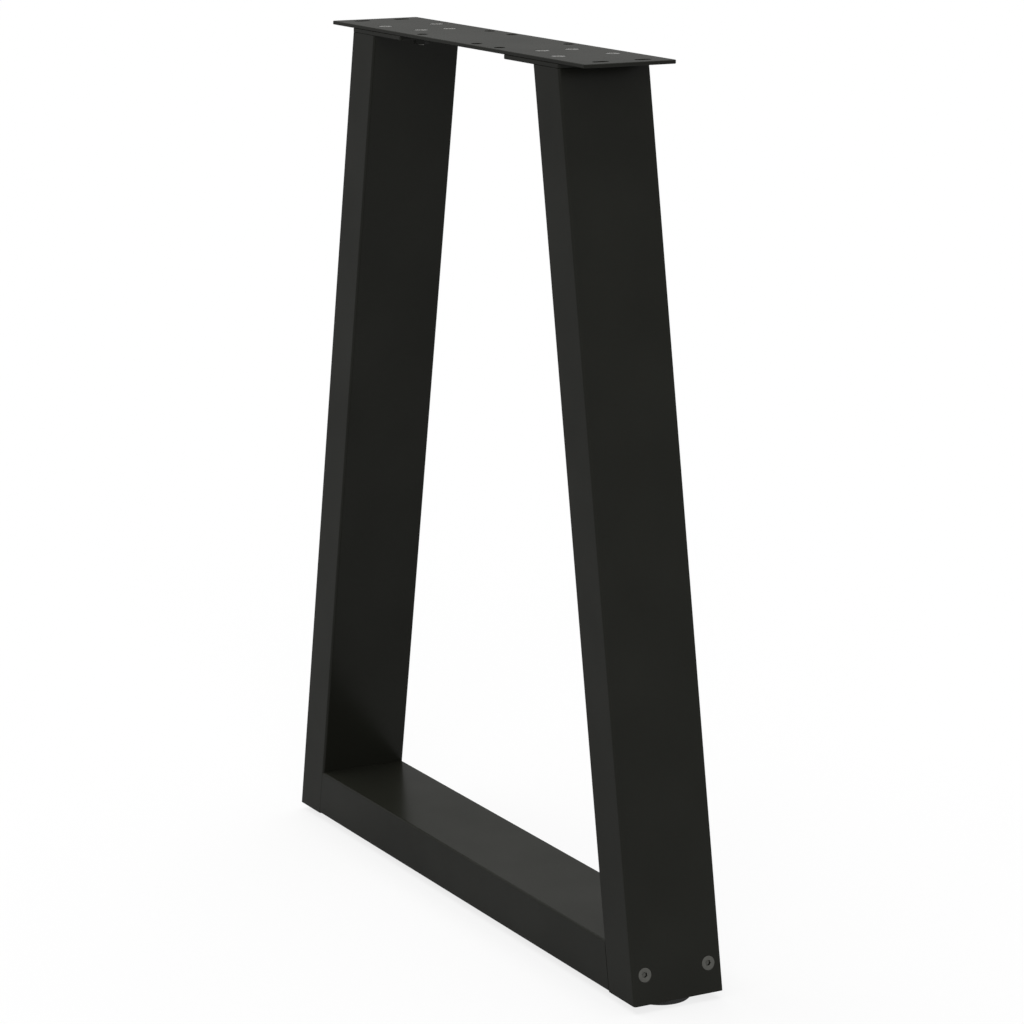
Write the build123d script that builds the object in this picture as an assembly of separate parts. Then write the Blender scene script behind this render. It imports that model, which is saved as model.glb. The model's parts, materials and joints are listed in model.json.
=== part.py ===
from build123d import *
import os
from math import atan2, cos, sin

# A trapezoid table leg. Two leaning uprights and a bottom rail are cut from one flat steel tube.
# A head plate is welded onto each upright, and the top plate is screwed down onto both head plates.
# Long screws through the uprights pull them against the ends of the rail.
# A levelling foot screws into each bottom corner.
# Millimetres: +X along the leg's width, +Y along its depth, +Z up. Left is -X, right is +X.
# The origin is on the floor, under the middle of the leg.

# Frame
overall_width = 600.0  # across the uprights' outer faces, at their bottom ends
top_width = 353.0  # across the same faces, at the uprights' top ends
overall_height = 720.0  # from the floor to the top plate's upper face, feet screwed in
tube_depth = 80.0
tube_thickness = 40.0
tube_wall = 1.5
tube_corner = 2.0  # outer radius of the tube's corners
smallest_corner = 0.2  # of any inside corner, when the wall is nearly as thick as the radius
cope_reach = 0.9  # how far the rail's ends wrap round the uprights' rounded corners
cope_gap = 0.3  # by which that cut's corner radius is smaller than the tube's, for clearance

# Top plate and its head plates
plate_length = 432.0
plate_thickness = 3.0
plate_corner = 2.0  # corner radius, seen from above
sheet_edge = 0.4  # bevel that breaks the edges of a sheet
head_plate_length = 88.0
head_plate_thickness = 3.5

# Plates welded inside the tubes
base_plate_thickness = 3.0  # closes an upright's bottom end and carries the foot's nut
rail_end_thickness = 4.0  # closes an end of the rail and carries its nuts
insert_gap = 0.2  # all round a plate inside a tube

# Holes for fixing the table top
mount_hole_diameter = 9.0
mount_hole_edge = 9.0  # from the plate's long edge to a hole's centre
mount_hole_x = 66.0  # from the middle of the plate to the four outer holes
middle_hole_x = 28.0  # from the middle of the plate to the two inner holes
slot_width = 7.0
slot_length = 14.0  # end to end, across the plate
slot_end_margin = 14.0  # from the plate's short edge to a slot's centre
slot_y = 18.5  # from the plate's middle line to a slot's centre

# Countersunk screws, and the nuts that are welded on for them
screw_diameter = 6.0
screw_head_diameter = 11.6
screw_sink = 0.2  # from the surface down to the screw's flat head
screw_hole_diameter = 6.6
screw_tip = 0.7  # of a screw that shows beyond its nut
socket_flats = 4.0  # across the flats of the hexagon socket
socket_depth = 2.5
nut_flats = 11.0
nut_height = 5.0
thread_gap = 0.05  # between a screw and its nut, in place of the thread

# Where the screws are
outer_screw_margin = 29.0  # from a head plate's outer end to its wide pair of screws
outer_screw_y = 24.0
inner_screw_margin = 14.5  # from a head plate's inner end to its narrow pair
inner_screw_y = 13.2
rail_screw_height = 23.5  # up the slope of the upright, from its bottom end
rail_screw_edge = 11.5  # from the side of the tube

# Levelling feet
foot_inset = 30.0  # from the upright's outer bottom corner to the foot's axis
foot_travel = 13.0  # how far the foot can be screwed out
foot_gap = 0.3  # left between the pad and the frame when the foot is screwed in
pad_diameter = 49.0
pad_sole = 1.5  # plastic under the stud's head
pad_lid = 1.6  # plastic over the stud's head
pad_edge = 1.0  # bevel of the pad's rim
stud_diameter = 8.0
stud_hole_diameter = 9.0  # in the base plate
stud_head_flats = 13.0
stud_head_height = 2.8
stud_chamfer = 0.8
stud_spare = 0.7  # of the stud still above its nut when the foot is screwed out
foot_nut_flats = 14.0
foot_nut_height = 6.5
moulded_gap = 0.05  # between the stud and the plastic moulded round it

# Heights and angles that follow
pad_height = pad_sole + stud_head_height + pad_lid
frame_bottom = pad_height + foot_gap
plate_underside = overall_height - plate_thickness
upright_top = plate_underside - head_plate_thickness
lean = atan2((overall_width - top_width) / 2, upright_top - frame_bottom)
foot_nut_seat = frame_bottom + base_plate_thickness
stud_top = foot_nut_seat + foot_nut_height + foot_travel + stud_spare
cut_over = 1.0  # how far a cutter reaches beyond what it cuts

SIDES = {"left": -1, "right": 1}


def outer_face(side):
    """The plane of an upright's outer wide face: x along the depth, y up the slope, z outwards."""
    return Plane(
        origin=(side * overall_width / 2, 0, frame_bottom),
        x_dir=(0, side, 0),
        z_dir=(side * cos(lean), 0, sin(lean)),
    )


def inner_face(side):
    """The plane of an upright's inner wide face, where the rail ends, facing outwards too."""
    return outer_face(side).offset(-tube_thickness)


def upright_section(side):
    """The plane across an upright's tube: x outwards, y along the depth."""
    face = outer_face(side)
    middle = face.from_local_coords((0, 0, -tube_thickness / 2))
    return Plane(origin=middle, x_dir=face.z_dir, z_dir=face.y_dir)


def rail_section():
    """The plane across the rail's tube, in the middle of the leg: x up, y along the depth."""
    return Plane(origin=(0, 0, frame_bottom + tube_thickness / 2), x_dir=(0, 0, 1), z_dir=(1, 0, 0))


def bar(section, inset=0.0, sharper=0.0):
    """A bar of the tube's outline, longer than any tube, with its sides moved in and its corners sharper."""
    corner = max(tube_corner - inset - sharper, smallest_corner)
    outline = RectangleRounded(tube_thickness - 2 * inset, tube_depth - 2 * inset, corner)
    return extrude(section * outline, amount=overall_height + overall_width, both=True)


def tube(section):
    """The tube before its ends are cut."""
    return bar(section) - bar(section, tube_wall)


def insert(section):
    """The space inside the tube that a welded plate may fill."""
    return bar(section, tube_wall + insert_gap)


def level_slab(bottom, top):
    """Everything between two heights."""
    size = 2 * (overall_width + overall_height)
    return Pos(0, 0, (bottom + top) / 2) * Box(size, size, top - bottom)


def turned(points):
    """A solid turned round the Z axis from the points of its half outline, each radius and height."""
    outline = make_face(Polyline(*points, close=True))
    return revolve(Plane.XZ * outline, Axis.Z)


def hexagon(flats):
    """A hexagon of the given size across its flats."""
    return RegularPolygon(flats / 2, 6, major_radius=False)


def countersunk_screw(length):
    """A screw hanging from the XY plane, which is the surface that its head is sunk into."""
    head = screw_head_diameter / 2
    shank = screw_diameter / 2
    neck = -screw_sink - (head - shank)
    screw = turned([(0, -screw_sink), (head, -screw_sink), (shank, neck), (shank, -length), (0, -length)])
    socket = extrude(Pos(0, 0, -screw_sink) * hexagon(socket_flats), amount=-socket_depth)
    return screw - socket


def screw_cutter(length):
    """The countersink and the clearance hole for such a screw."""
    mouth = screw_head_diameter / 2 + screw_sink
    hole = screw_hole_diameter / 2
    return turned(
        [
            (0, cut_over),
            (mouth + cut_over, cut_over),
            (hole, hole - mouth),
            (hole, -length),
            (0, -length),
        ]
    )


def nut(flats, height, thread):
    """A welded nut standing on the XY plane."""
    return extrude(hexagon(flats) - Circle(thread / 2 + thread_gap), amount=height)


def plate_screw_places():
    """Where the top plate's screws go in, on its upper face."""
    outer = top_width / 2 - outer_screw_margin
    inner = top_width / 2 - head_plate_length + inner_screw_margin
    pairs = [(outer, outer_screw_y), (inner, inner_screw_y)]
    return [Pos(sx * x, sy * y, overall_height) for x, y in pairs for sx in (-1, 1) for sy in (-1, 1)]


def rail_screw_places(face):
    """Where the rail's screws cross a plane that is parallel to an upright's outer face."""
    y = tube_depth / 2 - rail_screw_edge
    return [face.location * Pos(side * y, rail_screw_height, 0) for side in (-1, 1)]


def sheet(length, thickness):
    """A sheet as wide as the tube is deep, standing on the XY plane, with its edges broken."""
    blank = extrude(RectangleRounded(length, tube_depth, plate_corner), amount=thickness)
    rims = blank.faces().sort_by(Axis.Z)
    return chamfer(rims[0].edges() + rims[-1].edges(), min(sheet_edge, thickness / 3))


def top_plate():
    """The plate that the table top rests on, with its fixing holes and countersinks."""
    plate = Pos(0, 0, plate_underside) * sheet(plate_length, plate_thickness)
    hole_y = tube_depth / 2 - mount_hole_edge
    outer_holes = [(sx * mount_hole_x, sy * hole_y) for sx in (-1, 1) for sy in (-1, 1)]
    inner_holes = [(middle_hole_x, -hole_y), (-middle_hole_x, hole_y)]
    holes = Locations(outer_holes + inner_holes) * Circle(mount_hole_diameter / 2)
    slot_x = plate_length / 2 - slot_end_margin
    slots = GridLocations(2 * slot_x, 2 * slot_y, 2, 2) * SlotOverall(slot_length, slot_width, rotation=90)
    through = plate_thickness + cut_over
    plate -= [extrude(Pos(0, 0, overall_height) * hole, amount=-through) for hole in holes + slots]
    return plate - [place * screw_cutter(through) for place in plate_screw_places()]


def head_plate(side):
    """The plate on an upright's top end, flush with its outer face, with a tongue inwards."""
    middle = side * (top_width - head_plate_length) / 2
    plate = Pos(middle, 0, upright_top) * sheet(head_plate_length, head_plate_thickness)
    through = plate_thickness + head_plate_thickness + cut_over
    return plate - [place * screw_cutter(through) for place in plate_screw_places()]


def upright(side):
    """A leaning tube with level ends, drilled for the rail's screws."""
    body = tube(upright_section(side)) & level_slab(frame_bottom, upright_top)
    cutter = screw_cutter(tube_thickness + cut_over)
    return body - [place * cutter for place in rail_screw_places(outer_face(side))]


def bottom_rail():
    """The level tube. Its ends are cut to the uprights' slope, with a lip round the uprights' corners."""
    body = tube(rail_section())
    for side in SIDES.values():
        body = split(body, bisect_by=inner_face(side).offset(cope_reach), keep=Keep.BOTTOM)
        body -= bar(upright_section(side), sharper=cope_gap)
    return body


def base_plate(side):
    """The plate inside an upright's bottom end, with the hole for the foot's stud."""
    plate = insert(upright_section(side)) & level_slab(frame_bottom, foot_nut_seat)
    hole = Cylinder(stud_hole_diameter / 2, overall_height)
    return plate - foot_place(side) * hole


def rail_end(side):
    """The plate inside an end of the rail, drilled for the rail's screws."""
    outside = inner_face(side)
    plate = split(insert(rail_section()), bisect_by=outside, keep=Keep.BOTTOM)
    plate = split(plate, bisect_by=outside.offset(-rail_end_thickness), keep=Keep.TOP)
    hole = Cylinder(screw_hole_diameter / 2, 2 * tube_thickness)
    return plate - [place * hole for place in rail_screw_places(outside)]


def foot_place(side):
    """The floor under a foot's axis."""
    return Pos(side * (overall_width / 2 - foot_inset), 0, 0)


def foot_pad(side):
    """The round plastic pad, moulded round the head of its stud."""
    disc = extrude(Circle(pad_diameter / 2), amount=pad_height)
    disc = chamfer(disc.edges().filter_by(GeomType.CIRCLE), min(pad_edge, pad_height / 3))
    pocket_height = stud_head_height + 2 * moulded_gap
    pocket = Pos(0, 0, pad_sole - moulded_gap) * hexagon(stud_head_flats + 2 * moulded_gap)
    disc -= extrude(pocket, amount=pocket_height)
    mouth = Pos(0, 0, pad_sole + stud_head_height) * Circle(stud_diameter / 2 + moulded_gap)
    disc -= extrude(mouth, amount=pad_lid + cut_over)
    return foot_place(side) * disc


def foot_stud(side):
    """The threaded stud with its hexagon head."""
    head = extrude(Pos(0, 0, pad_sole) * hexagon(stud_head_flats), amount=stud_head_height)
    shank = extrude(Pos(0, 0, pad_sole) * Circle(stud_diameter / 2), amount=stud_top - pad_sole)
    shank = chamfer(shank.edges().sort_by(Axis.Z)[-1], stud_chamfer)
    return foot_place(side) * (head + shank)


def foot_nut(side):
    """The nut on the base plate that the stud turns in."""
    return foot_place(side) * Pos(0, 0, foot_nut_seat) * nut(foot_nut_flats, foot_nut_height, stud_diameter)


def plate_screws():
    """The short screws through the top plate and the head plates."""
    length = plate_thickness + head_plate_thickness + nut_height + screw_tip
    return [place * countersunk_screw(length) for place in plate_screw_places()]


def head_nuts():
    """The nuts welded under the head plates."""
    drop = Pos(0, 0, upright_top - overall_height - nut_height)
    return [place * drop * nut(nut_flats, nut_height, screw_diameter) for place in plate_screw_places()]


def rail_screws():
    """The long screws through both walls of each upright into the ends of the rail."""
    screw = countersunk_screw(tube_thickness + rail_end_thickness + nut_height + screw_tip)
    return [place * screw for side in SIDES.values() for place in rail_screw_places(outer_face(side))]


def rail_nuts():
    """The nuts welded behind the rail's end plates."""
    depth = rail_end_thickness + nut_height
    welded = nut(nut_flats, nut_height, screw_diameter)
    backs = [inner_face(side).offset(-depth) for side in SIDES.values()]
    return [place * welded for back in backs for place in rail_screw_places(back)]


parts = {
    "top_plate": top_plate(),
    "bottom_rail": bottom_rail(),
    "plate_screws": Compound(plate_screws()),
    "head_weld_nuts": Compound(head_nuts()),
    "rail_screws": Compound(rail_screws()),
    "rail_weld_nuts": Compound(rail_nuts()),
}
for name, side in SIDES.items():
    parts[f"{name}_upright"] = upright(side)
    parts[f"{name}_head_plate"] = head_plate(side)
    parts[f"{name}_base_plate"] = base_plate(side)
    parts[f"{name}_rail_end_plate"] = rail_end(side)
    parts[f"{name}_foot_nut"] = foot_nut(side)
    parts[f"{name}_foot_pad"] = foot_pad(side)
    parts[f"{name}_foot_stud"] = foot_stud(side)

os.makedirs("parts", exist_ok=True)
for node, shape in parts.items():
    export_step(shape, f"parts/{node}.step")
    print(node, len(shape.solids()), "solids", round(shape.volume), "mm3")
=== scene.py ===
# %% [markdown]
# # A trapezoid table leg in flat black steel
#
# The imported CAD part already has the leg's true shapes: two leaning tubes, a bottom rail, a top plate with
# its head plates, nuts, and two levelling feet. It is loaded as a fixed frame, in metres, and nothing in it
# moves. This lesson gives it its looks: a camera, a white studio, four finishes, and finer screws and studs.

# %% Load the leg
import json
import math

import bpy
import numpy as np
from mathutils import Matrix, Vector

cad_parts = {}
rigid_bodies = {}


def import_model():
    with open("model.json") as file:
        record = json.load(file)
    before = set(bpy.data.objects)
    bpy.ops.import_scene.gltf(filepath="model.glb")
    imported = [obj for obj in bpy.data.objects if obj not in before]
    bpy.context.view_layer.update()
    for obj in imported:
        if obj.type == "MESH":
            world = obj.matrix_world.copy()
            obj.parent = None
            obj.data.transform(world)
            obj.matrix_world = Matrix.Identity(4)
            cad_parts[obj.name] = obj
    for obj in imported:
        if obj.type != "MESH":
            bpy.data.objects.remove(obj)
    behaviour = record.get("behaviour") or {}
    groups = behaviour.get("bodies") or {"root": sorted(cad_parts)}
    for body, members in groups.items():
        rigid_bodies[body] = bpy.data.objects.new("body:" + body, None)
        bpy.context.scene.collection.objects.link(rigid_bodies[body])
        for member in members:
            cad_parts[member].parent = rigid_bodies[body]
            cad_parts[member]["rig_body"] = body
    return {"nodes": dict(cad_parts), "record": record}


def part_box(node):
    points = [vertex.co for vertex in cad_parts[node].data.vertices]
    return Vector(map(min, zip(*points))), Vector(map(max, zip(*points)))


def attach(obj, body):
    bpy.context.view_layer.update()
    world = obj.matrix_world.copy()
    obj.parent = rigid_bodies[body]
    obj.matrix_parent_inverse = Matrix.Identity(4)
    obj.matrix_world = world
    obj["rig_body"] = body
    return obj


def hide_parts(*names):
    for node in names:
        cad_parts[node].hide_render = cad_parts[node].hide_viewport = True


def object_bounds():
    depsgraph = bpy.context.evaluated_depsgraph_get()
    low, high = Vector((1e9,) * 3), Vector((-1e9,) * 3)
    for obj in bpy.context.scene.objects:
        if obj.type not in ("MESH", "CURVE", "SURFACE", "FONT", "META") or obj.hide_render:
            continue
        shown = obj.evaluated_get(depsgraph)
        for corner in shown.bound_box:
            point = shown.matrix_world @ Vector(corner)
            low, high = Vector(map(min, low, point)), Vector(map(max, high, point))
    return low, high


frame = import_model()
cad_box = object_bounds()

# %% [markdown]
# ## The camera
#
# The leg is seen from its right front, from a little above the table top, through a long lens about three
# metres away. A camera could be placed by hand and nudged. Here it is placed by the two angles that a
# photographer would name, round the leg and above the horizon, because then each can be corrected by itself.

# %% Place the camera
camera_azimuth = math.radians(61.50)  # round the leg, from its front face
camera_elevation = math.radians(12.76)
camera_distance = 2.937
camera_aim = Vector((0.0, 0.0159, 0.3303))
camera_lens = 124.95  # millimetres, for Blender's 36 mm sensor

towards_camera = Vector((
    math.sin(camera_azimuth) * math.cos(camera_elevation),
    -math.cos(camera_azimuth) * math.cos(camera_elevation),
    math.sin(camera_elevation),
))
camera_data = bpy.data.cameras.new("camera")
camera_data.lens = camera_lens
camera = bpy.data.objects.new("camera", camera_data)
camera.location = camera_aim + camera_distance * towards_camera
camera.rotation_euler = (-towards_camera).to_track_quat("-Z", "Y").to_euler()
bpy.context.scene.collection.objects.link(camera)
bpy.context.scene.camera = camera
bpy.context.scene.view_settings.view_transform = "Standard"  # plain colours, with no film curve
print("camera at", tuple(round(value, 3) for value in camera.location))

# %% [markdown]
# ## Arithmetic on node sockets
#
# A finish is a graph of nodes, and most of the graph is small sums. Adding each Math node by hand hides the
# sum, so one class wraps an output socket and lets Python's own operators add the nodes. `1 - mask` then
# reads as it means. Every other kind of node comes from its `node` method, which sets a node up before it
# fills the node's sockets.


# %% Define a field
class Field:
    """One output socket of a node tree. Sums with it add Math nodes, and its node method adds any other."""

    def __init__(self, tree, socket=None):
        self.tree = tree
        self.socket = socket

    def node(self, kind, settings=None, sockets=None, output=0):
        """Adds a node, makes its settings, fills its sockets with values or links, and returns one output."""
        made = self.tree.nodes.new("ShaderNode" + kind)
        for name, value in (settings or {}).items():
            setattr(made, name, value)
        for name, value in (sockets or {}).items():
            if isinstance(value, Field):
                self.tree.links.new(value.socket, made.inputs[name])
            else:
                made.inputs[name].default_value = value
        return Field(self.tree, made.outputs[output] if made.outputs else None)

    def combine(self, operation, first, second):
        """One Math node of two fields or numbers."""
        return self.node("Math", {"operation": operation}, {0: first, 1: second})

    # Python calls an operator's reflected form when a number stands on its left.

    def __add__(self, other):
        return self.combine("ADD", self, other)

    def __radd__(self, other):
        return self.combine("ADD", other, self)

    def __sub__(self, other):
        return self.combine("SUBTRACT", self, other)

    def __rsub__(self, other):
        return self.combine("SUBTRACT", other, self)

    def __mul__(self, other):
        return self.combine("MULTIPLY", self, other)

    def __rmul__(self, other):
        return self.combine("MULTIPLY", other, self)

    def larger(self, other):
        """The larger of two fields."""
        return self.combine("MAXIMUM", self, other)

    def mixed(self, other, share):
        """This field mixed with a share of another."""
        return (1 - share) * self + share * other

    def between(self, first, second):
        """A colour that goes from the first to the second as this field goes from 0 to 1. On a Mix node the
        colours are inputs 6 and 7, and output 2."""
        return self.node("Mix", {"data_type": "RGBA"}, {0: self, 6: first, 7: second}, output=2)


print("a field can be added, subtracted and multiplied, with a number on either side")

# %% [markdown]
# ## A white studio
#
# The leg stands on a seamless white floor in an even white room, so its black faces are drawn almost wholly
# by the white that they mirror. A room could be built round it, but a world colour does the same: it gives a
# low even light from all sides, and what the eye or a mirror sees of it is plain white.

# %% Light the room
room_light = 0.22  # the even light that reaches a surface from the whole room


def grey(level):
    """A neutral colour of that level."""
    return (level, level, level, 1.0)


def seen_directly(field):
    """1 for a ray from the eye, from a mirror or through glass, and 0 for one that only lights a surface."""
    camera_ray = field.node("LightPath", output="Is Camera Ray")
    glossy_ray = field.node("LightPath", output="Is Glossy Ray")
    clear_ray = field.node("LightPath", output="Is Transmission Ray")
    return camera_ray.larger(glossy_ray).larger(clear_ray)


world = bpy.data.worlds.new("white_room")
world.use_nodes = True
world.node_tree.nodes.clear()
bpy.context.scene.world = world
room = Field(world.node_tree)
room_strength = room_light + (1 - room_light) * seen_directly(room)
background = room.node("Background", sockets={"Color": grey(1.0), "Strength": room_strength})
room.node("OutputWorld", sockets={"Surface": background})
print("the room lights the leg at", room_light, "and is seen at 1")

# %% [markdown]
# ## Two lamps
#
# A broad lamp overhead, like a large soft box, lights the faces that look up. It leaves the corner between
# the rail and the far upright almost black, so a weak lamp from above the camera fills it, as a second soft
# box would. Both are far lamps with a wide spread, because they then light every height alike and cast no
# hard shadow. The fill is kept out of mirrors, where it would draw a bright line down every rounded corner
# of the tubes.


# %% Hang the lamps
def add_lamp(name, strength, spread, tilt, turn, mirrored):
    """A far lamp as wide as its spread, tilted from straight above, and turned from the leg's front to its
    right, with the angles in degrees."""
    data = bpy.data.lights.new(name, "SUN")
    data.energy = strength
    data.angle = math.radians(spread)
    lamp = bpy.data.objects.new(name, data)
    lamp.rotation_euler = (math.radians(tilt), 0.0, math.radians(turn))
    lamp.visible_glossy = mirrored
    bpy.context.scene.collection.objects.link(lamp)
    print(name, "of strength", strength)


add_lamp("overhead_lamp", strength=2.4, spread=80, tilt=15, turn=-80, mirrored=True)
add_lamp("fill_lamp", strength=0.75, spread=40, tilt=65, turn=62, mirrored=False)

# %% [markdown]
# ## The floor
#
# A studio floor that looks pure white and still holds a shadow can be had by over-lighting it, but that burns
# out the object too. Here the floor is part plain white card, which only the eye and mirrors see, and part
# real surface, which takes the leg's soft shadow. Mirrors see less of the card, and the light that the floor
# passes on is that of a grey floor, as if dark cloth lay just out of the picture, because else the leg's
# sides would lose their black. It is clear from below, so that the feet can be looked at from there.

# %% Mix the white floor
floor_white = 0.95
floor_bounce = 0.2  # how white it is for light that it only passes on to the leg
floor_card = 0.8  # share of plain white card
mirrored_card = 0.3  # that share where the floor is seen in a mirror


def new_finish(name):
    """An empty material, and a field to start its graph from."""
    material = bpy.data.materials.new(name)
    material.use_nodes = True
    material.node_tree.nodes.clear()
    return material, Field(material.node_tree)


def white_floor():
    """The floor's finish: a white surface and a white card from above, and nothing from below."""
    material, white = new_finish("white_floor")
    seen = seen_directly(white)
    colour = seen.between(grey(floor_bounce), grey(floor_white))
    surface = white.node(
        "BsdfPrincipled",
        sockets={"Base Color": colour, "Roughness": 1.0, "Specular IOR Level": 0.0},
    )
    card = white.node("Emission", sockets={"Color": grey(1.0), "Strength": 1.0})
    mirrored = white.node("LightPath", output="Is Glossy Ray")
    card_share = floor_card * seen - (floor_card - mirrored_card) * mirrored
    above = white.node("MixShader", sockets={0: card_share, 1: surface, 2: card})
    below = white.node("BsdfTransparent")
    underside = white.node("NewGeometry", output="Backfacing")
    both_sides = white.node("MixShader", sockets={0: underside, 1: above, 2: below})
    white.node("OutputMaterial", sockets={"Surface": both_sides})
    return material


floor_finish = white_floor()
print("mixed", floor_finish.name, "from", len(floor_finish.node_tree.nodes), "nodes")

# %% [markdown]
# The floor itself is one square at the height of the soles, so large that its edge lies outside the
# camera's picture. It isn't part of the leg.

# %% Lay the floor
floor_reach = 20.0  # from the middle to each edge
floor_signs = ((-1, -1), (1, -1), (1, 1), (-1, 1))
floor_corners = [(x * floor_reach, y * floor_reach, cad_box[0].z) for x, y in floor_signs]
floor_mesh = bpy.data.meshes.new("floor")
floor_mesh.from_pydata(floor_corners, [], [(0, 1, 2, 3)])
floor_mesh.materials.append(floor_finish)
floor = bpy.data.objects.new("floor", floor_mesh)
bpy.context.scene.collection.objects.link(floor)
print("floor", 2 * floor_reach, "m square at", cad_box[0].z)

# %% [markdown]
# ## Black powder coat
#
# The frame is steel with baked-on black powder. Close to, it is not flat: the powder melts into a fine grain,
# the melt sets with a slow ripple like orange peel, and the film is a little shinier in some places than in
# others. Only the tops of the grain are smooth enough to mirror, so the finish is a dead black with a share
# of clear gloss mixed in, and not one shiny black: that keeps it dark from the front and lets it brighten
# only at a low angle.

# %% Mix the powder coat
grain_size = 0.0005
grain_height = 0.000006
ripple_size = 0.004
ripple_height = 0.000008
patch_size = 0.09
patch_share = 0.5  # of the patches in the colour, beside the grain
coat_dark = (0.0116, 0.0120, 0.0092, 1.0)
coat_light = (0.0204, 0.0210, 0.0162, 1.0)
matte_roughness = 0.8
gloss_roughness = 0.215  # where the film is shiniest
gloss_roughening = 0.06  # added to it by the patches
gloss_ior = 1.55
least_gloss = 0.105  # share of clear gloss
added_gloss = 0.08  # added to it by the grain, and again by the patches


def noise(field, place, size, detail):
    """A soft random pattern from 0 to 1, whose spots are about the given size in metres. Each step of detail
    adds finer spots to it."""
    return field.node("TexNoise", sockets={"Vector": place, "Scale": 1 / size, "Detail": detail})


def powder_coat():
    """The frame's finish: its gloss and colour follow the patches and the grain, and grain and ripple are
    bumps that shape the light."""
    material, coat = new_finish("black_powder_coat")
    place = coat.node("TexCoord", output="Object")
    grain = noise(coat, place, grain_size, detail=2.0)
    ripple = noise(coat, place, ripple_size, detail=1.0)
    patches = noise(coat, place, patch_size, detail=3.0)
    colour = grain.mixed(patches, patch_share).between(coat_dark, coat_light)
    rippled = coat.node("Bump", sockets={"Height": ripple, "Distance": ripple_height})
    normal = coat.node("Bump", sockets={"Height": grain, "Distance": grain_height, "Normal": rippled})
    matte = coat.node(
        "BsdfPrincipled",
        sockets={
            "Base Color": colour,
            "Roughness": matte_roughness,
            "Specular IOR Level": 0.0,
            "Normal": normal,
        },
    )
    gloss = coat.node(
        "BsdfPrincipled",
        sockets={
            "Base Color": colour,
            "Roughness": gloss_roughness + gloss_roughening * patches,
            "IOR": gloss_ior,
            "Normal": normal,
        },
    )
    gloss_share = least_gloss + added_gloss * grain + added_gloss * patches
    film = coat.node("MixShader", sockets={0: gloss_share, 1: matte, 2: gloss})
    coat.node("OutputMaterial", sockets={"Surface": film})
    return material


frame_paint = powder_coat()
print("mixed", frame_paint.name, "from", len(frame_paint.node_tree.nodes), "nodes")

# %% [markdown]
# ## Moulded plastic
#
# The pads under the feet are black plastic with the faint sparkle of a spark-eroded mould, and scuffs dull it
# here and there. One grey would do from afar. The grain is what tells plastic from painted steel close to, so
# it goes into the colour and the bump, and the scuffs go into the colour and the gloss.

# %% Mix the pad plastic
mould_grain = 0.00025
mould_height = 0.000008
scuff_size = 0.012
scuff_share = 0.6  # of the scuffs in the colour, beside the grain
plastic_dark = grey(0.022)
plastic_light = grey(0.04)
plastic_roughness = 0.45
scuff_roughening = 0.2
plastic_specular = 0.4


def pad_plastic():
    """The pads' finish: a matte black whose colour, gloss and bump follow the mould's grain and scuffs."""
    material, plastic = new_finish("black_pad_plastic")
    place = plastic.node("TexCoord", output="Object")
    grain = noise(plastic, place, mould_grain, detail=2.0)
    scuffs = noise(plastic, place, scuff_size, detail=4.0)
    normal = plastic.node("Bump", sockets={"Height": grain, "Distance": mould_height})
    shader = plastic.node(
        "BsdfPrincipled",
        sockets={
            "Base Color": grain.mixed(scuffs, scuff_share).between(plastic_dark, plastic_light),
            "Roughness": plastic_roughness + scuff_roughening * scuffs,
            "Specular IOR Level": plastic_specular,
            "Normal": normal,
        },
    )
    plastic.node("OutputMaterial", sockets={"Surface": shader})
    return material


foot_plastic = pad_plastic()
print("mixed", foot_plastic.name, "from", len(foot_plastic.node_tree.nodes), "nodes")

# %% [markdown]
# ## Turned and plated steel
#
# The screws are dark plated steel that was turned on a lathe, so its marks run round the axis. A stretched
# pattern would have to be turned to each screw. Instead the pieces carry the distance along their own
# profile, and a noise of that one number is a set of rings. The studs have the same turned look in bright
# zinc, with a patchy bloom.

# %% Mix the steels
ring_size = 0.00012
ring_height = 0.000004
bloom_size = 0.004
bloom_share = 0.7  # of the bloom in the colour, beside the rings
steel_roughness = 0.28
bloom_roughening = 0.14


def turned_steel(name, dark, light):
    """A lathe-turned plated steel: rings along the profile, and a soft bloom between two colours."""
    material, steel = new_finish(name)
    place = steel.node("TexCoord", output="Object")
    along = steel.node("Attribute", {"attribute_name": "profile"}, output="Fac")
    ring_sockets = {"W": along, "Scale": 1 / ring_size, "Detail": 2.0}
    rings = steel.node("TexNoise", {"noise_dimensions": "1D"}, ring_sockets)
    bloom = noise(steel, place, bloom_size, detail=3.0)
    normal = steel.node("Bump", sockets={"Height": rings, "Distance": ring_height})
    shader = steel.node(
        "BsdfPrincipled",
        sockets={
            "Base Color": rings.mixed(bloom, bloom_share).between(dark, light),
            "Metallic": 1.0,
            "Roughness": steel_roughness + bloom_roughening * bloom,
            "Normal": normal,
        },
    )
    steel.node("OutputMaterial", sockets={"Surface": shader})
    print("mixed", name, "from", len(material.node_tree.nodes), "nodes")
    return material


screw_steel = turned_steel("dark_screw_steel", (0.065, 0.065, 0.06, 1.0), (0.11, 0.11, 0.10, 1.0))
stud_steel = turned_steel("zinc_stud_steel", (0.38, 0.38, 0.36, 1.0), (0.58, 0.58, 0.55, 1.0))

# %% [markdown]
# The record of the part says which finish each CAD piece has, so the finishes are handed out by its list and
# not piece by piece.

# %% Finish the CAD pieces
finishes = {
    "frame_paint": frame_paint,
    "screw_steel": screw_steel,
    "stud_steel": stud_steel,
    "foot_plastic": foot_plastic,
}
slot_of = {subpart["node"]: subpart["material_slot"] for subpart in frame["record"]["subparts"]}
for cad_node, cad_slot in slot_of.items():
    frame["nodes"][cad_node].material_slots[0].material = finishes[cad_slot]
print("finished", len(slot_of), "pieces in", len(finishes), "finishes")

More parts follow.
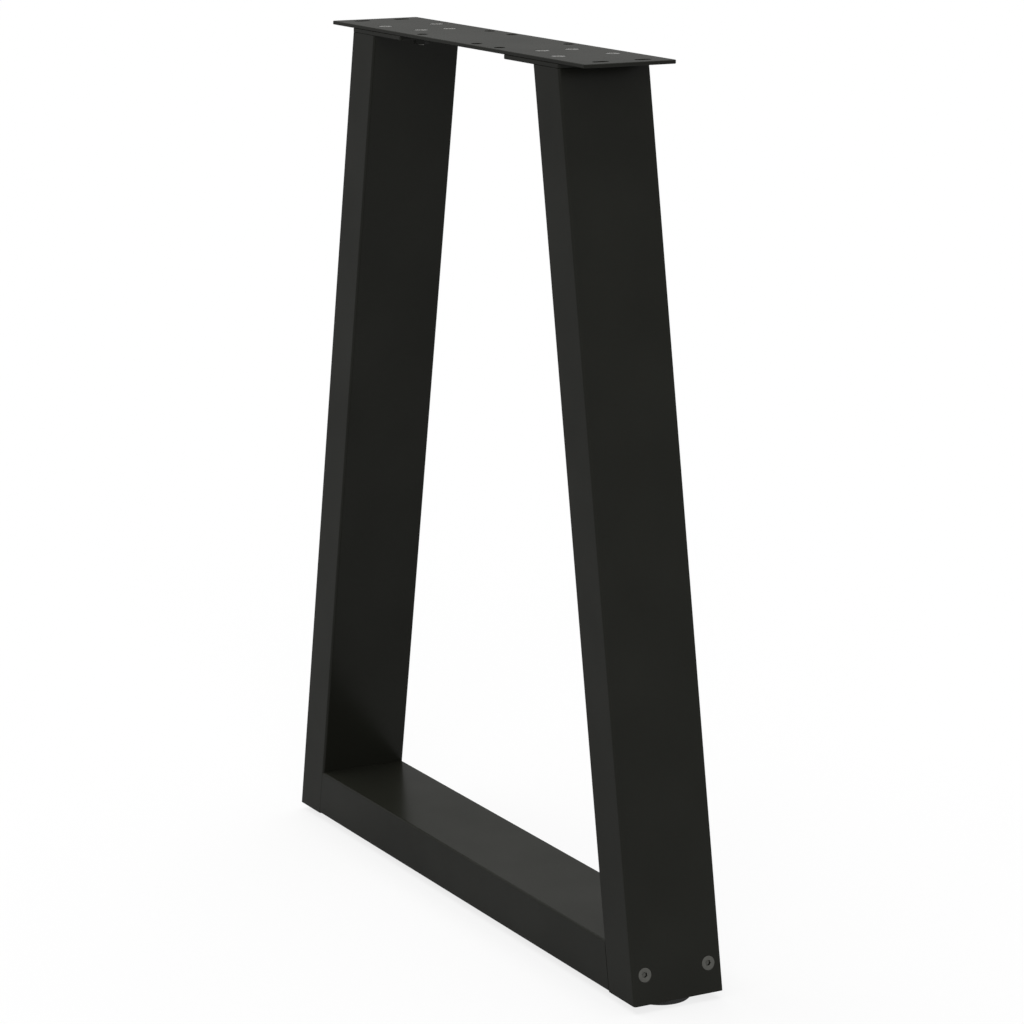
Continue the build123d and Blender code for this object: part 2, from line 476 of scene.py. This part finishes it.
# %% [markdown]
# ## Turned shapes
#
# Screws and studs are round, with a hexagon here and a thread there. They could be cylinders with cuts made
# in them, but all of it is one surface: a radius for each row down the axis and each angle round it. A round
# row has one radius, a hexagon's radius swells towards its corners, and a thread's radius rises and falls
# with height and angle together. Whole rows are computed at once.

# %% Define the rows
columns = 72  # points round the axis; a multiple of 12 puts a point on every corner of a hexagon
angles = np.arange(columns) * 2 * np.pi / columns
rows_per_pitch = 10
thread_depth = 0.6  # of the pitch, from crest to root
flank_slope = 2.4  # over 1, so that the wave is flat at its crest and its root
crest_cut = 0.7  # taken off the wave, which sets how wide the crest is


def hexagon(flats):
    """A hexagon's radius at each angle: half its width across flats, over the cosine of the angle from a
    flat."""
    from_flat = (angles + np.pi / 6) % (np.pi / 3) - np.pi / 6
    return flats / 2 / np.cos(from_flat)


def arc(radius, height, size, start, end, steps=5):
    """Rows along an arc of the profile: the centre, plus the size times the cosine and the sine."""
    turn = np.radians(np.linspace(start, end, steps))
    return list(zip(radius + size * np.cos(turn), height + size * np.sin(turn)))


def thread(top, bottom, diameter, pitch):
    """Rows of a thread. The wave's phase is height over pitch, less the part of a turn, and the radius falls
    from the crest by a clipped triangle of that phase, fading out over the last pitch at each end."""
    heights = np.linspace(top, bottom, int((top - bottom) / pitch * rows_per_pitch) + 1)[:, None]
    phase = (heights / pitch - angles / (2 * np.pi)) % 1
    wave = np.clip(flank_slope * np.abs(2 * phase - 1) - crest_cut, 0, 1)
    fade = np.clip(np.minimum(top - heights, heights - bottom) / pitch, 0, 1)
    return list(zip(diameter / 2 - thread_depth * pitch * wave * fade, heights))


print("a row has", columns, "points, and a thread", rows_per_pitch, "rows to a turn")

# %% [markdown]
# The rows are joined into one closed skin. Its walls have four corners and the caps at its ends three, and
# the points are numbered row by row, so both are found by shifting one grid of numbers against itself.


# %% Define a turned surface
def turned(rows):
    """A closed surface through rows of radius and height, from the middle of its top end to that of its
    bottom.

    A point is its radius times the cosine and the sine of its angle, and its height. The last column meets
    the first, and a point on the axis closes each end. The profile is the mean distance down the rows to
    each point. The result is the points, the walls, the caps and the profile.
    """
    radius = np.array([np.broadcast_to(row[0], columns) for row in rows])
    height = np.array([np.broadcast_to(row[1], columns) for row in rows])
    grid = np.stack([radius * np.cos(angles), radius * np.sin(angles), height], axis=-1)
    poles = [[0.0, 0.0, height[0, 0]], [0.0, 0.0, height[-1, 0]]]
    points = np.vstack([grid.reshape(-1, 3), poles])
    here = np.arange(len(rows) * columns).reshape(len(rows), columns)
    beside = np.roll(here, -1, axis=1)
    walls = np.stack([here[:-1], here[1:], beside[1:], beside[:-1]], axis=-1).reshape(-1, 4)
    top = np.stack([np.full(columns, len(points) - 2), here[0], beside[0]], axis=-1)
    bottom = np.stack([np.full(columns, len(points) - 1), beside[-1], here[-1]], axis=-1)
    steps = np.linalg.norm(np.diff(grid, axis=0), axis=2).mean(axis=1)
    distance = radius[0].mean() + np.concatenate([[0.0], np.cumsum(steps)])
    profile = np.concatenate([np.repeat(distance, columns), [0.0, distance[-1] + radius[-1].mean()]])
    return points, walls, np.vstack([top, bottom]), profile


print("a turned surface is closed by", 2 * columns, "cap faces")

# %% [markdown]
# ## Placing copies
#
# The same screw goes in many places, at the slope of the face that it is in. A turned shape is stood on a
# point and along an axis, each with its own turn, because no two screws stop at the same angle. The copies
# become one mesh with its place in its points, which rides on the same body as the CAD node that it stands
# for.

# %% Define a placed piece
golden_turn = np.pi * (3 - np.sqrt(5))  # from one copy to the next, which never repeats
sharp_angle = math.radians(40)  # a bend from which an edge is drawn sharp


def stand(points, origin, axis, spin):
    """The points in a frame whose third axis is the given one, turned by spin round it, and moved to the
    origin."""
    third = np.array(axis) / np.linalg.norm(axis)
    first = np.cross([0.0, 1.0, 0.0], third)
    second = np.cross(third, first)
    turned_first = np.cos(spin) * first + np.sin(spin) * second
    turned_second = np.cross(third, turned_first)
    return points @ np.stack([turned_first, turned_second, third]) + np.array(origin)


def add_turned_piece(name, node, shape, places):
    """One mesh of a turned shape at every place, standing for a CAD node in that node's finish."""
    points, walls, caps, profile = shape
    copies = [stand(points, origin, axis, golden_turn * i) for i, (origin, axis) in enumerate(places)]
    first_points = np.arange(len(places))[:, None, None] * len(points)
    all_walls = (first_points + walls).reshape(-1, 4)
    all_caps = (first_points + caps).reshape(-1, 3)
    mesh = bpy.data.meshes.new(name)
    mesh.from_pydata(np.vstack(copies).tolist(), [], all_walls.tolist() + all_caps.tolist())
    mesh.polygons.foreach_set("use_smooth", np.ones(len(mesh.polygons), bool))
    mesh.set_sharp_from_angle(angle=sharp_angle)
    attribute = mesh.attributes.new("profile", "FLOAT", "POINT")
    attribute.data.foreach_set("value", np.tile(profile, len(places)).astype(np.float32))
    slot = slot_of[node]
    mesh.materials.append(finishes[slot])
    piece = bpy.data.objects.new(name, mesh)
    bpy.context.scene.collection.objects.link(piece)
    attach(piece, frame["nodes"][node]["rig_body"])
    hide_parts(node)
    print(name, "has", len(places), "of", len(walls) + len(caps), "faces each")


print("each copy is turned on by", round(math.degrees(golden_turn), 1), "degrees")

# %% [markdown]
# ## Countersunk screws
#
# Eight short screws hold the top plate and four long ones pull the uprights against the rail. Each has a flat
# head with a soft rim, a hexagon socket with a drilled bottom and a bevelled mouth, and a thread at its tip,
# where it shows beyond its nut. The CAD screw has plain edges and no thread, so one profile with all of that
# is turned in its stead.

# %% Define a screw
head_radius = 0.0058
head_rim = 0.0001  # radius of the head's soft rim
cone_angle = 45  # degrees between the face of the head and its cone
shank_radius = 0.003
tip_bevel = 0.0006
thread_pitch = 0.001
socket_flats = 0.004
socket_depth = 0.0025
mouth_depth = 0.0003  # of the bevel round the socket
mouth_margin = 0.00015  # by which that bevel is wider than the socket's corners
drill_depth = 0.0006  # of the drilled cone below the socket
drill_radius = 0.0002  # at the cone's point


def countersunk_screw(length, threaded):
    """Rows from the bottom of the socket, over the head and down its cone to the tip. The thread starts at
    the threaded length above the tip."""
    rim_radius = head_radius - head_rim / math.tan(math.radians(cone_angle) / 2)
    cone_depth = (head_radius - shank_radius) * math.tan(math.radians(cone_angle))
    mouth_radius = socket_flats / 2 / math.cos(math.pi / 6) + mouth_margin
    rows = [
        (drill_radius, -socket_depth - drill_depth),
        (hexagon(socket_flats), -socket_depth),
        (hexagon(socket_flats), -mouth_depth),
        (mouth_radius, 0.0),
    ]
    rows += arc(rim_radius, -head_rim, head_rim, 90, cone_angle - 90)
    rows += [(shank_radius, -cone_depth)]
    rows += thread(threaded - length, tip_bevel - length, 2 * shank_radius, thread_pitch)
    rows += [(shank_radius - tip_bevel, -length)]
    return turned(rows)


print("a screw head is", round(2 * head_radius, 4), "m across")

# %% [markdown]
# The plate screws stand upright. The box of their CAD node gives the length of a screw and the place of the
# wide pairs, which are the outermost. The narrow pairs are set back from the inner end of each head plate.

# %% Make the plate screws
plate_thread = 0.003
inner_screw_margin = 0.0145  # from a head plate's inner end to its narrow pair
inner_screw_y = 0.0132

plate_screws_low, plate_screws_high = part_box("plate_screws")
head_plate_low, head_plate_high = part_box("right_head_plate")
outer_screw = (plate_screws_high.x - head_radius, plate_screws_high.y - head_radius)
inner_screw = (head_plate_low.x + inner_screw_margin, inner_screw_y)
plate_screw_places = [
    ((x * along, y * across, plate_screws_high.z), (0.0, 0.0, 1.0))
    for along, across in (outer_screw, inner_screw)
    for x in (-1, 1)
    for y in (-1, 1)
]
plate_screw = countersunk_screw(plate_screws_high.z - plate_screws_low.z, plate_thread)
add_turned_piece("plate_screws_turned", "plate_screws", plate_screw, plate_screw_places)

# %% [markdown]
# The rail screws stand square to the leaning uprights. The lean follows from the frame: from the bottom of an
# upright to its top, its outer face moves in from the foot of the upright to the end of the head plate.

# %% Make the rail screws
rail_screw_rise = 0.0235  # up the slope, from the bottom of the upright
rail_screw_length = 0.0495  # from the face of the head to the tip
rail_thread = 0.004
head_sink = 0.0002  # from the face of the upright down to the head

upright_low, upright_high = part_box("right_upright")
rail_screws_low, rail_screws_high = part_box("rail_screws")
lean = math.atan2(upright_high.x - head_plate_high.x, upright_high.z - upright_low.z)
rail_screw_y = rail_screws_high.y - head_radius
rail_screw_places = []
for side in (-1, 1):
    outwards = Vector((side * math.cos(lean), 0.0, math.sin(lean)))
    upwards = Vector((-side * math.sin(lean), 0.0, math.cos(lean)))
    foot = Vector((side * upright_high.x, 0.0, upright_low.z))
    middle = foot + rail_screw_rise * upwards - head_sink * outwards
    rail_screw_places += [(middle + Vector((0.0, y, 0.0)), outwards) for y in (-rail_screw_y, rail_screw_y)]
rail_screw = countersunk_screw(rail_screw_length, rail_thread)
add_turned_piece("rail_screws_turned", "rail_screws", rail_screw, rail_screw_places)
print("the uprights lean by", round(math.degrees(lean), 2), "degrees")

# %% [markdown]
# ## Threaded studs
#
# Each foot has a zinc-plated stud moulded into its pad. Screwed in, it is out of sight; screwed out, its
# thread shows between the pad and the frame. A bump could draw that thread, but its outline would stay
# straight, so it is real geometry, a helix in the surface's radius. The hexagon head inside the pad keeps
# the CAD shape.

# %% Make the studs
stud_radius = 0.004
stud_pitch = 0.00125
stud_bevel = 0.0008
stud_head_flats = 0.013
stud_head_height = 0.0028


def threaded_stud(low, high, pad_top):
    """Rows from the bevelled top of the stud down its thread to its hexagon head in the pad."""
    head_top = low + stud_head_height
    rows = [(stud_radius - stud_bevel, high)]
    rows += thread(high - stud_bevel, pad_top, 2 * stud_radius, stud_pitch)
    rows += [(stud_radius, head_top), (hexagon(stud_head_flats), head_top), (hexagon(stud_head_flats), low)]
    return turned(rows)


for name in ("left", "right"):
    stud_low, stud_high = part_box(name + "_foot_stud")
    pad_low, pad_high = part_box(name + "_foot_pad")
    stud_place = (((pad_low.x + pad_high.x) / 2, 0.0, 0.0), (0.0, 0.0, 1.0))
    stud = threaded_stud(stud_low.z, stud_high.z, pad_high.z)
    add_turned_piece(name + "_stud_threaded", name + "_foot_stud", stud, [stud_place])
